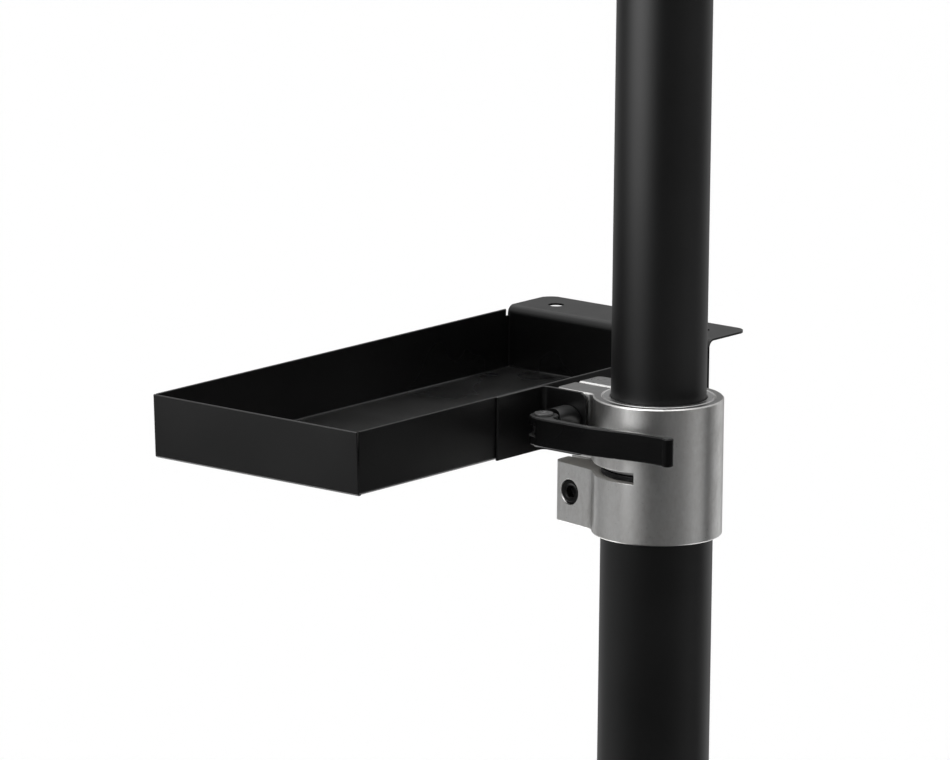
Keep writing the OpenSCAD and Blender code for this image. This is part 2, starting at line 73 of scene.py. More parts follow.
LOWER_WALL = 3
UPPER_WALL = 2.5
EAR_W = 38
SLIT_W = 3
UPPER_EAR_END = -55
CUT_DEPTH = 35.1
CUT_H = 6.2
CUT_END_X = 9.7
CLAMP_TAPER = 11
SCREW_X = -46.2
SCREW_DEPTH = 56.4
SCREW_SEAT_Y = -7.6
BRACKET_T = 1.6
SHEET = 1.2
FOLD_R = 2.2
TRAY_SEAM = 0.45
TRAY_LEAN = 1.9
SHELF_L = 36
DRIVER_X = 19.5
DRIVER_Y = 17.6
DRIVER_PITCH = 51
DRIVER_R = 4.5
ROD_R = 5
SPINDLE_R = 7
LOCK_RISE = 43
HALF_THROUGH = 200
THROUGH = 2 * HALF_THROUGH

# ---- places taken from the frame ----

COLLAR_TOP = high("collar").z
COLLAR_BOTTOM = low("collar").z
COLLAR_R = high("collar").x
EAR_END = low("collar").x
LOWER_R = high("lower_tube").x
LOWER_BORE = LOWER_R - LOWER_WALL
UPPER_R = high("upper_tube").x
UPPER_BORE = UPPER_R - UPPER_WALL
PIN = middle("cam_pin")
LEVER_H = high("cam_lever").z - low("cam_lever").z
TRAY_LOW = low("tool_tray")
TRAY_HIGH = high("tool_tray")
TRAY_FOOT_Y = TRAY_LOW.y + TRAY_LEAN
SHELF_Y = TRAY_HIGH.y - SHELF_L
HEAD_Z = middle("arm_shaft").z
LOCK_Z = HEAD_Z + LOCK_RISE
BARREL_HALF = high("head_housing").x
ARM_R = high("arm_shaft").y
BUSH_R = ARM_R + 3
ROD_X = middle("spindle").x
ROD_RISE = high("guide_rods").z - HEAD_Z - ROD_R
JAW_X = middle("fixed_pad").x

# ---- the reference view: degrees, millimetres, and the lens in pixels ----

VIEW_AZIMUTH = 38.706
VIEW_ELEVATION = 12.211
VIEW_ROLL = 0.638
VIEW_DISTANCE = 4517.09
VIEW_LEFT = 97.638
VIEW_RISE = 7.52
FOCAL = 8508.7
IMAGE_W = 950


# ---- outlines in a plane: lists of (x, y), outer loops run anticlockwise ----

def arc(cx, cy, r, start, end, steps):
    """Points on a circle from one angle to another, in degrees, both ends included."""
    angles = [math.radians(start + (end - start) * i / steps) for i in range(steps + 1)]
    return [(cx + r * math.cos(a), cy + r * math.sin(a)) for a in angles]


def circle(cx, cy, r, steps=48):
    return arc(cx, cy, r, 0, 360, steps)[:-1]


def hole(cx, cy, r):
    return circle(cx, cy, r)[::-1]


def rounded(corners, steps=8):
    """A closed outline whose corners (x, y, radius) are rounded with arcs."""
    points = []
    for i, (x, y, r) in enumerate(corners):
        here = Vector((x, y))
        if r <= 0:
            points.append((x, y))
            continue
        before = (Vector(corners[i - 1][:2]) - here).normalized()
        after = (Vector(corners[(i + 1) % len(corners)][:2]) - here).normalized()
        half = before.angle(after) / 2
        centre = here + (before + after).normalized() * (r / math.sin(half))
        first = here + before * (r / math.tan(half)) - centre
        last = here + after * (r / math.tan(half)) - centre
        turn = first.angle_signed(last)
        for k in range(steps + 1):
            c, s = math.cos(-turn * k / steps), math.sin(-turn * k / steps)
            points.append((centre.x + first.x * c - first.y * s,
                           centre.y + first.x * s + first.y * c))
    return points


def rectangle(x0, y0, x1, y1, r=0.0, steps=8):
    return rounded([(x0, y0, r), (x1, y0, r), (x1, y1, r), (x0, y1, r)], steps)


def inset(loop, distance):
    """The loop moved towards its material, which is on the left of its direction."""
    if distance <= 0:
        return loop
    shifted = []
    count = len(loop)
    for i in range(count):
        before = Vector(loop[i]) - Vector(loop[i - 1])
        after = Vector(loop[(i + 1) % count]) - Vector(loop[i])
        n1 = Vector((-before.y, before.x)).normalized()
        n2 = Vector((-after.y, after.x)).normalized()
        mitre = n1 + n2
        scale = distance * 2 / max(mitre.length_squared, 1.0)
        shifted.append((loop[i][0] + mitre.x * scale, loop[i][1] + mitre.y * scale))
    return shifted


def sheet_end(corner_a, corner_b, outward, ease):
    """The end of a sheet's cross-section, from one corner to the other, with both corners eased."""
    across = corner_b - corner_a
    back = outward.normalized() * ease
    return [corner_a - back, corner_a + across * 0.15 - back * 0.3, corner_a + across * 0.35,
            corner_a + across * 0.65, corner_a + across * 0.85 - back * 0.3, corner_b - back]


def sheet_outline(line, thickness):
    """The cross-section of a bent sheet: its left face is the line, its ends are rounded."""
    left = [Vector(p) for p in line]
    right = []
    for i, p in enumerate(left):
        a = left[max(i - 1, 0)]
        b = left[min(i + 1, len(left) - 1)]
        along = (b - a).normalized()
        right.append(p + Vector((along.y, -along.x)) * thickness)
    ease = thickness * 0.3
    loop = right[1:-1] + sheet_end(right[-1], left[-1], left[-1] - left[-2], ease)
    loop += left[1:-1][::-1] + sheet_end(left[0], right[0], left[0] - left[1], ease)
    return [(p.x, p.y) for p in loop]


# ---- solids: (vertices, faces) in millimetres ----

def rounding(rim, steps):
    """Rows of (height, inset) from a face's border to its side, along a rounded edge."""
    if rim <= 0:
        return [(0, 0)]
    turns = [math.pi / 2 * k / steps for k in range(steps, -1, -1)]
    return [(rim * (1 - math.sin(a)), rim * (1 - math.cos(a))) for a in turns]


def slab(loops, z0, z1, rim=0.3, rim_steps=3, low_rim=None):
    """An outline with holes from z0 to z1, with both faces' edges rounded: one step is a chamfer."""
    lower = rounding(rim if low_rim is None else low_rim, rim_steps)
    upper = rounding(rim, rim_steps)
    rows = [(z0 + h, d) for h, d in lower] + [(z1 - h, d) for h, d in upper[::-1]]
    verts = []
    faces = []
    starts = []
    for z, d in rows:
        starts.append(len(verts))
        for loop in loops:
            verts += [(x, y, z) for x, y in inset(loop, d)]
    total = sum(len(loop) for loop in loops)
    for k in range(len(rows) - 1):
        offset = 0
        for loop in loops:
            n = len(loop)
            for i in range(n):
                a = starts[k] + offset + i
                b = starts[k] + offset + (i + 1) % n
                faces.append((a, b, b + total, a + total))
            offset += n
    for row, flip in ((0, True), (len(rows) - 1, False)):
        flat = [[Vector((x, y, 0)) for x, y in inset(loop, rows[row][1])] for loop in loops]
        for tri in tessellate_polygon(flat):
            ids = [starts[row] + t for t in tri]
            a, b, c = (Vector(verts[t]) for t in ids)
            upward = (b - a).cross(c - a).z > 0
            faces.append(tuple(ids if upward != flip else ids[::-1]))
    return verts, faces


def lathe(profile, steps=96):
    """A closed profile of (radius, z) turned about the Z axis, anticlockwise in its plane."""
    verts = []
    faces = []
    rings = []
    for r, z in profile:
        if r < 1e-6:
            rings.append([len(verts)])
            verts.append((0.0, 0.0, z))
        else:
            first = len(verts)
            rings.append(list(range(first, first + steps)))
            verts += [(r * math.cos(TAU * i / steps), r * math.sin(TAU * i / steps), z)
                      for i in range(steps)]
    for k, ring in enumerate(rings):
        other = rings[(k + 1) % len(rings)]
        if len(ring) == 1 and len(other) == 1:
            continue
        for i in range(steps):
            j = (i + 1) % steps
            if len(ring) == 1:
                faces.append((ring[0], other[j], other[i]))
            elif len(other) == 1:
                faces.append((ring[i], ring[j], other[0]))
            else:
                faces.append((ring[i], ring[j], other[j], other[i]))
    return verts, faces


def turned(corners, steps=96, corner_steps=4):
    """A lathed solid whose profile's corners (radius, z, rounding) are rounded."""
    return lathe(rounded(corners, corner_steps), steps)


def disc(r, h, edge=0.5, steps=64):
    return turned([(0, 0, 0), (r, 0, edge), (r, h, edge), (0, h, 0)], steps)


def tube_solid(r_out, r_in, z0, z1, edge=0.4, steps=160):
    corners = [(r_in, z0, edge), (r_out, z0, edge), (r_out, z1, edge), (r_in, z1, edge)]
    return turned(corners, steps, 3)


def moved(solid, x=0.0, y=0.0, z=0.0, matrix=None):
    verts, faces = solid
    place = Matrix.Translation((x, y, z))
    if matrix is not None:
        place = place @ matrix.to_4x4()
    return [tuple(place @ Vector(v)) for v in verts], faces


def together(*solids):
    verts = []
    faces = []
    for more_verts, more_faces in solids:
        first = len(verts)
        verts += more_verts
        faces += [tuple(first + i for i in face) for face in more_faces]
    return verts, faces


def repeat(solid, matrices):
    return together(*[moved(solid, matrix=m) for m in matrices])


def both_ways(solid):
    """The solid and a copy of it turned half round the column."""
    return repeat(solid, [Matrix.Identity(4), Matrix.Rotation(math.pi, 4, "Z")])


# Turns that take +Z to another direction, then one that stands an (x, z) outline up, with its
# height along Y, and one that does the same for a (y, z) outline, with its height along X.
TO_X = Matrix.Rotation(math.pi / 2, 3, "Y")
TO_Y = Matrix.Rotation(-math.pi / 2, 3, "X")
TO_MINUS_Y = Matrix.Rotation(math.pi / 2, 3, "X")
UPRIGHT = Matrix(((1, 0, 0), (0, 0, 1), (0, 1, 0)))
SIDEWAYS = Matrix(((0, 0, 1), (1, 0, 0), (0, 1, 0)))


# ---- Blender objects ----

def loose(solid):
    """A solid as a Blender object in metres."""
    verts, faces = solid
    mesh = bpy.data.meshes.new("solid")
    mesh.from_pydata([Vector(v) * MM for v in verts], [], faces)
    bm = bmesh.new()
    bm.from_mesh(mesh)
    bmesh.ops.recalc_face_normals(bm, faces=bm.faces)
    bm.to_mesh(mesh)
    bm.free()
    obj = bpy.data.objects.new("solid", mesh)
    bpy.context.scene.collection.objects.link(obj)
    return obj


def bake_modifiers(obj):
    bpy.context.view_layer.update()
    graph = bpy.context.evaluated_depsgraph_get()
    mesh = bpy.data.meshes.new_from_object(obj.evaluated_get(graph))
    obj.modifiers.clear()
    old = obj.data
    obj.data = mesh
    bpy.data.meshes.remove(old)


def combine(obj, solids, operation):
    """Cuts the solids from the object, or adds them to it, one after another."""
    for solid in solids:
        tool = loose(solid)
        modifier = obj.modifiers.new("combine", "BOOLEAN")
        modifier.operation = operation
        modifier.solver = "EXACT"
        modifier.object = tool
        bake_modifiers(obj)
        bpy.data.objects.remove(tool)


def put_at(obj, place, turn):
    """Turns an object's mesh about the origin and moves it to a place."""
    obj.data.transform(Matrix.Translation(Vector(place) * MM) @ turn.to_4x4())


def join(obj, *others):
    """Adds the other objects' meshes to the first one's."""
    bm = bmesh.new()
    bm.from_mesh(obj.data)
    for other in others:
        bm.from_mesh(other.data)
    bm.to_mesh(obj.data)
    bm.free()
    for other in others:
        bpy.data.objects.remove(other)


def melt(obj, voxel, rounds):
    """Remeshes a casting or moulding so that its inner corners flow into each other."""
    remesh = obj.modifiers.new("melt", "REMESH")
    remesh.mode = "VOXEL"
    remesh.voxel_size = voxel * MM
    smooth = obj.modifiers.new("flow", "SMOOTH")
    smooth.factor = 0.5
    smooth.iterations = rounds
    bake_modifiers(obj)


def finish_piece(obj, node, material, body, angle=SHARP_ANGLE):
    """Gives an object its material and makes it stand for a CAD node, on that node's body.

    Its one material slot holds that material.
    """
    obj.name = node + "_finish"
    obj.data.name = obj.name
    obj.data.materials.clear()
    obj.data.materials.append(material)
    obj.data.shade_smooth()
    obj.data.set_sharp_from_angle(angle=angle)
    weights = obj.modifiers.new("normals", "WEIGHTED_NORMAL")
    weights.keep_sharp = True
    weights.weight = 80
    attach(obj, body)
    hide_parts(node)


def piece(node, solid, material, body, angle=SHARP_ANGLE):
    """A finished piece made from one solid."""
    finish_piece(loose(solid), node, material, body, angle)


# ---- materials ----

class Nodes:
    """A node tree under construction: short calls add nodes and return their output."""

    def __init__(self, owner):
        owner.use_nodes = True
        self.tree = owner.node_tree

    def add(self, kind, values=None, **settings):
        node = self.tree.nodes.new("ShaderNode" + kind)
        for key, value in settings.items():
            setattr(node, key, value)
        for key, value in (values or {}).items():
            self.put(node.inputs[key], value)
        return node

    def put(self, socket, value):
        if isinstance(value, bpy.types.NodeSocket):
            self.tree.links.new(value, socket)
        else:
            socket.default_value = value

    def noise(self, scale, detail, rough=0.5, stretch=(1, 1, 1)):
        """Noise in the object's own metres, stretched on each axis."""
        coords = self.add("TexCoord").outputs["Object"]
        place = self.add("Mapping", {"Vector": coords, "Scale": stretch}).outputs["Vector"]
        values = {"Vector": place, "Scale": scale, "Detail": detail, "Roughness": rough}
        return self.add("TexNoise", values).outputs["Fac"]

    def ramp(self, value, low_at, high_at, low_to=0.0, high_to=1.0):
        values = {"Value": value, "From Min": low_at, "From Max": high_at,
                  "To Min": low_to, "To Max": high_to}
        return self.add("MapRange", values).outputs["Result"]

    def maths(self, operation, a, b):
        return self.add("Math", {0: a, 1: b}, operation=operation).outputs["Value"]

    def mix(self, share, a, b):
        """A colour between two, which are a Mix node's inputs 6 and 7 and output 2."""
        return self.add("Mix", {"Factor": share, 6: a, 7: b}, data_type="RGBA").outputs[2]

    def round_edges(self, radius):
        return self.add("Bevel", {"Radius": radius * MM}, samples=4).outputs["Normal"]

    def edges(self, radius):
        """1 along edges and 0 on open faces, with a soft border."""
        normals = {0: self.round_edges(radius), 1: self.add("NewGeometry").outputs["Normal"]}
        same = self.add("VectorMath", normals, operation="DOT_PRODUCT").outputs["Value"]
        away = self.maths("MULTIPLY", self.maths("SUBTRACT", 1.0, same), 6.0)
        return self.add("Clamp", {"Value": away}).outputs["Result"]

    def bump(self, height, strength, distance, edge):
        """A bumpy skin whose edges are rounded."""
        values = {"Height": height, "Strength": strength, "Distance": distance * MM,
                  "Normal": self.round_edges(edge)}
        return self.add("Bump", values).outputs["Normal"]


class Paint(Nodes):
    """A material whose surface is set from its nodes."""

    def __init__(self, name):
        self.material = bpy.data.materials.new(name)
        super().__init__(self.material)
        self.surface = self.tree.nodes["Principled BSDF"]

    def set(self, **values):
        for key, value in values.items():
            self.put(self.surface.inputs[key.replace("_", " ")], value)
        return self.material


def rgb(r, g, b):
    return (r, g, b, 1.0)


def grey(value):
    return rgb(value, value, value)


def powder_coat(name, colour, rough, peel, edge=0.35, gloss=0.5, edge_wear_and_highlight=0.5, lightening=0.0):
    """Satin powder coat: orange peel, slight cloudiness, edges lighter for wear and a painted edge
    highlight, upper faces lighter for dust and painted top light.
    """
    p = Paint(name)
    fine = p.noise(1100, 2.0)
    broad = p.noise(160, 2.0)
    cloud = p.noise(9, 3.0)
    skin = p.maths("ADD", fine, p.maths("MULTIPLY", broad, 0.8))
    light = tuple(c * 1.5 + 0.0015 for c in colour)
    base = p.mix(p.ramp(cloud, 0.3, 0.7), rgb(*colour), rgb(*light))
    # Edges are painted lighter grey: partly rubbed-through wear, partly a painted edge highlight.
    patchy_edge_wear_and_highlight = p.ramp(p.noise(60, 4.0), 0.35, 0.75, 0.1 * edge_wear_and_highlight, edge_wear_and_highlight)
    base = p.mix(p.maths("MULTIPLY", p.edges(edge), patchy_edge_wear_and_highlight), base, grey(0.13))
    # Upper faces are painted lighter grey in patches: partly settled dust, partly painted top light.
    if lightening > 0:
        up = p.add("SeparateXYZ", {"Vector": p.add("NewGeometry").outputs["Normal"]}).outputs["Z"]
        top_light_patches = p.ramp(p.noise(70, 4.0), 0.3, 0.7, 0.3, 1.0)
        painted_top_light = p.maths("MULTIPLY", p.ramp(up, 0.7, 0.95, 0.0, lightening), top_light_patches)
        base = p.mix(painted_top_light, base, grey(0.16))
    normal = p.bump(skin, peel, 0.12, edge)
    return p.set(Base_Color=base, Metallic=0.0, Normal=normal, Specular_IOR_Level=gloss,
                 Roughness=p.ramp(cloud, 0.3, 0.7, rough - 0.04, rough + 0.05))


def machined(name, colour, rough, edge, brushed=0.0, turn=0.0):
    """Bare machined metal: cloudy oxide, fine pits and, round a turned part, a brushed sheen."""
    p = Paint(name)
    cloud = p.noise(38, 5.0, 0.62)
    mottle = p.noise(330, 4.0, 0.6, (1, 1, 0.45))
    pits = p.ramp(p.noise(900, 3.0), 0.27, 0.34, 1.0, 0.0)
    dark = tuple(c * share for c, share in zip(colour, (0.70, 0.69, 0.68)))
    base = p.mix(p.ramp(p.maths("ADD", cloud, p.maths("MULTIPLY", mottle, 0.6)), 0.6, 1.05),
                 rgb(*colour), rgb(*dark))
    base = p.mix(p.maths("MULTIPLY", pits, 0.35), base, grey(0.25))
    shine = p.ramp(p.maths("ADD", cloud, p.maths("MULTIPLY", mottle, 0.5)), 0.45, 1.1,
                   rough - 0.05, rough + 0.08)
    normal = p.bump(mottle, 0.04, 0.02, edge)
    tangent = p.add("Tangent", direction_type="RADIAL", axis="Z").outputs["Tangent"]
    return p.set(Base_Color=base, Metallic=1.0, Roughness=shine, Normal=normal, Anisotropic=brushed,
                 Anisotropic_Rotation=turn, Tangent=tangent)


def plastic(name, colour, rough, grain=0.15):
    """Moulded plastic with a spark-eroded grain."""
    p = Paint(name)
    skin = p.noise(420, 3.0, 0.6)
    cloud = p.noise(22, 2.0)
    light = tuple(min(1.0, c * 1.25 + 0.004) for c in colour)
    base = p.mix(cloud, rgb(*colour), rgb(*light))
    normal = p.bump(skin, grain, 0.15, 0.4)
    return p.set(Base_Color=base, Normal=normal,
                 Roughness=p.ramp(skin, 0.3, 0.7, rough - 0.05, rough + 0.08))


def rubber(name, colour):
    """Soft rubber: matt, dusty on its high spots."""
    p = Paint(name)
    skin = p.noise(600, 4.0, 0.7)
    lightening = p.ramp(p.noise(45, 5.0, 0.7), 0.5, 0.8)
    base = p.mix(p.maths("MULTIPLY", lightening, 0.35), rgb(*colour), rgb(0.16, 0.155, 0.15))
    return p.set(Base_Color=base, Normal=p.bump(skin, 0.25, 0.2, 0.6),
                 Roughness=p.ramp(skin, 0.3, 0.7, 0.62, 0.85), Specular_IOR_Level=0.35)


TUBE_PAINT = powder_coat("tube_paint", (0.0026, 0.0026, 0.0028), rough=0.42, peel=0.10)
# The tray: edges painted only a little lighter (wear and painted edge highlight), upper faces a
# little lighter (dust and painted top light).
TRAY_PAINT = powder_coat("tray_paint", (0.0024, 0.0024, 0.0025), rough=0.30, peel=0.16, edge_wear_and_highlight=0.15,
                         lightening=0.12)
# The lever's upper faces are painted much lighter, as dust and painted top light.
LEVER_PAINT = powder_coat("lever_paint", (0.0018, 0.0018, 0.0019), rough=0.26, peel=0.06, edge=0.3,
                          gloss=0.2, lightening=0.5)
PIN_PAINT = powder_coat("pin_paint", (0.05, 0.05, 0.05), rough=0.3, peel=0.06, edge=0.3)
BASE_PAINT = powder_coat("base_paint", (0.010, 0.010, 0.0108), rough=0.45, peel=0.35, edge=0.8)
HEAD_PAINT = powder_coat("head_paint", (0.009, 0.0093, 0.0100), rough=0.42, peel=0.30, edge=0.8)
BLACK_SCREW = powder_coat("black_screw", (0.003, 0.003, 0.003), rough=0.3, peel=0.04, edge=0.3,
                          gloss=0.3)
COLLAR_METAL = machined("collar_metal", (0.82, 0.82, 0.81), rough=0.32, edge=0.4, brushed=0.78,
                        turn=0.25)
TOP_METAL = machined("top_metal", (0.42, 0.42, 0.42), rough=0.30, edge=0.25)
CUT_METAL = plastic("cut_metal", (0.50, 0.49, 0.47), rough=0.5, grain=0.3)
BUSH_METAL = machined("bush_metal", (0.62, 0.62, 0.62), rough=0.30, edge=0.25)
BRIGHT_STEEL = machined("bright_steel", (0.55, 0.55, 0.56), rough=0.25, edge=0.3)
SHAFT_STEEL = machined("shaft_steel", (0.6, 0.6, 0.61), rough=0.2, edge=0.3)
NYLON = plastic("nylon", (0.62, 0.60, 0.53), rough=0.5)
BLACK_PLASTIC = plastic("black_plastic", (0.014, 0.014, 0.015), rough=0.42)
PAD_RUBBER = rubber("pad_rubber", (0.02, 0.02, 0.021))


# ---- fasteners ----

def cap_screw(r, shank, head_r, head_h, key):
    """A socket-head screw: the shank lies along -Z under a head that stands on z = 0."""
    floor = head_h * 0.4
    recess_r = key + 0.1
    profile = [(0, -shank, 0), (r, -shank, 0.4), (r, 0, 0), (head_r, 0, 0.3), (head_r, head_h, 0.8),
               (key + 0.8, head_h, 0.2), (recess_r, head_h - 0.5, 0), (recess_r, floor, 0),
               (0, floor - 0.8, 0)]
    hexagon = circle(0, 0, key, 6)[::-1]
    socket = slab([circle(0, 0, key + 0.6), hexagon], floor - 0.2, head_h - 0.35, 0)
    return together(turned(profile, 48, 3), socket)


# ---- column ----

def build_tubes():
    lower = tube_solid(LOWER_R, LOWER_BORE, *span("lower_tube", "z"))
    piece("lower_tube", lower, TUBE_PAINT, "stand")
    upper = tube_solid(UPPER_R, UPPER_BORE, *span("upper_tube", "z"))
    piece("upper_tube", upper, TUBE_PAINT, "mast")


def collar_outline(end_x, taper, corner, fillet):
    """Ring, ear and slit as one outline: round the outside, in through the slit, round the bore."""
    half = EAR_W / 2
    tilt = math.radians(taper)
    fillet_x = -math.sqrt((COLLAR_R + fillet) ** 2 - (half + fillet) ** 2)
    corner_x = end_x + corner
    corner_y = -half + (fillet_x - corner_x) * math.tan(tilt) + corner / math.cos(tilt)
    root = math.degrees(math.atan2(-(half + fillet), fillet_x))
    near = [(end_x, -SLIT_W / 2)]
    near += arc(corner_x, corner_y, corner, 180, 270 - taper, 10)
    near += arc(fillet_x, -half - fillet, fillet, 90, root + 180, 10)
    around = [math.radians(a) for a in range(-180, 181, 3) if abs(a) < -root - 1]
    ring = [(COLLAR_R * math.cos(a), COLLAR_R * math.sin(a)) for a in around]
    far = [(x, -y) for x, y in near[::-1]]
    bore = LOWER_R + 0.02
    mouth = math.degrees(math.asin(SLIT_W / 2 / bore))
    return near + ring + far + arc(0, 0, bore, 180 - mouth, mouth - 180, 120)


def build_collar():
    cut_top = COLLAR_TOP - CUT_DEPTH
    cut_bottom = cut_top - CUT_H
    parting = (cut_top + cut_bottom) / 2
    upper = collar_outline(UPPER_EAR_END, 0, 3.5, 6)
    lower = collar_outline(EAR_END, CLAMP_TAPER, 6, 8)
    obj = loose(slab([upper], parting, COLLAR_TOP, rim=0.7, rim_steps=1, low_rim=0))
    combine(obj, [slab([lower], COLLAR_BOTTOM, parting, rim=0, rim_steps=1, low_rim=0.5)], "UNION")
    saw_cut = slab([rectangle(EAR_END - 5, -50, CUT_END_X, 50, 0.4, 3)], cut_bottom, cut_top, 0)
    skewer_hole = moved(disc(3.3, THROUGH, 0), PIN.x, -HALF_THROUGH, PIN.z, TO_Y)
    combine(obj, [saw_cut, skewer_hole] + screw_seat(), "DIFFERENCE")
    finish_piece(obj, "collar", COLLAR_METAL, "stand")
    obj.data.materials.append(CUT_METAL)
    obj.data.materials.append(TOP_METAL)
    for face in obj.data.polygons:
        height = face.center.z / MM
        if abs(face.normal.z) > 0.9 and height > COLLAR_TOP - 0.1:
            face.material_index = 2
        elif abs(face.normal.z) > 0.9 and cut_bottom - 0.1 < height < cut_top + 0.1:
            face.material_index = 1


def screw_seat():
    """What the clamp screw needs out of the tapered ear: a bore, a counterbore and a soft edge."""
    z = COLLAR_TOP - SCREW_DEPTH
    bore = moved(disc(4.05, THROUGH, 0), SCREW_X, -HALF_THROUGH, z, TO_Y)
    counterbore = moved(disc(6.75, 20, 0, 96), SCREW_X, SCREW_SEAT_Y - 20, z, TO_Y)
    mouth = lathe([(0, -0.7), (6.1, -0.7), (7.7, 0.9), (0, 0.9)], 96)
    face_turn = Matrix.Rotation(math.radians(-CLAMP_TAPER), 3, "Z") @ TO_MINUS_Y
    face_y = 2.6 - EAR_W / 2
    return [bore, counterbore, moved(mouth, SCREW_X - 0.35, face_y, z - 0.45, face_turn)]


def build_bush():
    gap = 1.0
    inner = UPPER_R + 0.05
    outer_angle = math.degrees(math.asin(gap / LOWER_R))
    inner_angle = math.degrees(math.asin(gap / inner))
    outline = arc(0, 0, LOWER_R, outer_angle - 180, 180 - outer_angle, 120)
    outline += arc(0, 0, inner, 180 - inner_angle, inner_angle - 180, 120)
    bush = slab([outline], *span("collar_bush", "z"), rim=0.7, rim_steps=1)
    piece("collar_bush", bush, BUSH_METAL, "stand")


def build_collar_screw():
    screw_z = COLLAR_TOP - SCREW_DEPTH
    screw = moved(cap_screw(4, 22, 6.5, 8, 3.5), SCREW_X, SCREW_SEAT_Y, screw_z, TO_MINUS_Y)
    piece("collar_screw", screw, BLACK_SCREW, "stand")


# ---- skewer and lever ----

def build_skewer():
    """The skewer's rod with its eye round the pin, and the nut at its far end."""
    ring = [(3.02, -3, 0.3), (5.8, -3, 0.5), (5.8, 3, 0.5), (3.02, 3, 0.3)]
    eye = moved(turned(ring, 48, 3), *PIN)
    rod_y = PIN.y + 4.5
    rod = moved(disc(3, high("skewer").y - rod_y, 0.5, 32), PIN.x, rod_y, PIN.z, TO_Y)
    piece("skewer", together(eye, rod), BRIGHT_STEEL, "stand")
    y0 = low("skewer_nut").y
    washer = moved(disc(7, 1.4, 0.4), PIN.x, y0, PIN.z, TO_Y)
    hexagon = moved(slab([circle(0, 0, 5.8, 6)], 0, 9, 0.6), PIN.x, y0 + 1.4, PIN.z, TO_Y)
    flat_dome = [(x, 0.6 * z) for x, z in arc(0, 0, 4.9, 0, 90, 8)]
    dome = moved(lathe([(0, 0)] + flat_dome, 48), PIN.x, y0 + 10.3, PIN.z, TO_Y)
    piece("skewer_nut", together(washer, hexagon, dome), BLACK_SCREW, "stand")


def build_cam_seat():
    """The saddle that the cam bears on, and the pin through the lever."""
    seat_y = low("cam_saddle").y
    saddle_r = (high("cam_saddle").x - low("cam_saddle").x) / 2
    saddle = disc(saddle_r, high("cam_saddle").y - seat_y, 1.2, 96)
    obj = loose(moved(saddle, PIN.x, seat_y, PIN.z, TO_Y))
    cam_hollow = moved(disc(8.6, 60, 0, 96), PIN.x, PIN.y, PIN.z - 30)
    rod_hole = moved(disc(3.3, 60, 0), PIN.x, PIN.y, PIN.z, TO_Y)
    combine(obj, [cam_hollow, rod_hole], "DIFFERENCE")
    finish_piece(obj, "cam_saddle", LEVER_PAINT, "stand")
    half = high("cam_pin").z - PIN.z
    crown = [(0, half - 0.5, 0), (1.6, half - 0.5, 0.3), (2.2, half, 0.3), (5.2, half, 0.5),
             (5.2, half - 1.4, 0.2), (3, half - 1.4, 0)]
    profile = [(r, -z, c) for r, z, c in crown] + crown[::-1]
    pin = moved(turned(profile, 64, 3), *PIN)
    piece("cam_pin", pin, PIN_PAINT, "stand")


def arm_line(x):
    """Outer side of the lever's arm over its length: straight, a soft S, then straight."""
    u = min(1.0, max(0.0, (x - 30) / 44))
    return -9.05 + 6.3 * u * u * (3 - 2 * u)


def lever_outline():
    """The lever from above, closed, with the pin at the origin: head, arm and a bead at the tip."""
    tip = 83.8
    steps = 40
    xs = [tip * i / steps for i in range(steps + 1)]
    outer = [(x, max(arm_line(x), -8.4 - 0.65 * min(1.0, x / 8))) for x in xs if 1 < x < tip - 2]
    inner = [(x, arm_line(x) + 5.6 - 1.8 * min(1.0, x / 60)) for x in xs if x > 9]
    bead = arc(tip, arm_line(tip) + 1.9, 3.1, -120, 120, 16)
    round_head = arc(0, 0.4, 8, -10, 262, 40)
    return outer + bead + inner[-3::-1] + round_head


def build_lever():
    body = slab([lever_outline()], -LEVER_H / 2, LEVER_H / 2, rim=0.6, rim_steps=1, low_rim=0.3)
    obj = loose(moved(body, *PIN))
    slot = 6.4
    around = slab([rectangle(-20, -6, 10, 20)], -slot / 2, slot / 2, 0)
    mouth = slab([rectangle(-20, -20, 1, 0, 0.5)], -slot / 2, slot / 2, 0)
    bore = moved(disc(3.05, 40, 0), 0, 0, -20)
    combine(obj, [moved(solid, *PIN) for solid in (around, mouth, bore)], "DIFFERENCE")
    finish_piece(obj, "cam_lever", LEVER_PAINT, "cam_lever")


# ---- tray ----

def corner_waste(r, steps):
    """What rounding takes off a corner that lies at the origin, with its sides along X and Y."""
    curve = [(r - x, r - y) for x, y in arc(0, 0, r, 0, 90, steps)]
    return [(-0.1, -0.1), (-0.1, r)] + curve + [(r, -0.1)]


def build_bracket():
    lowest, highest = low("tray_bracket"), high("tray_bracket")
    leg_y, leg_end = highest.y, highest.x
    bend_r = 4
    line = [(lowest.x, lowest.y)] + arc(lowest.x + bend_r, leg_y - bend_r, bend_r, 180, 90, 10)
    line += [(leg_end, leg_y)]
    obj = loose(slab([sheet_outline(line, BRACKET_T)], lowest.z, highest.z))
    cutters = [moved(disc(3.3, 10, 0), PIN.x, leg_y - 5, PIN.z, TO_Y)]
    for z, inward in ((highest.z, -1), (lowest.z, 1)):
        waste = [(leg_end - x, z + inward * y) for x, y in corner_waste(5, 8)]
        cutters.append(moved(slab([waste], leg_y - 5, leg_y + 5, 0), matrix=UPRIGHT))
    combine(obj, cutters, "DIFFERENCE")
    finish_piece(obj, "tray_bracket", TRAY_PAINT, "stand")


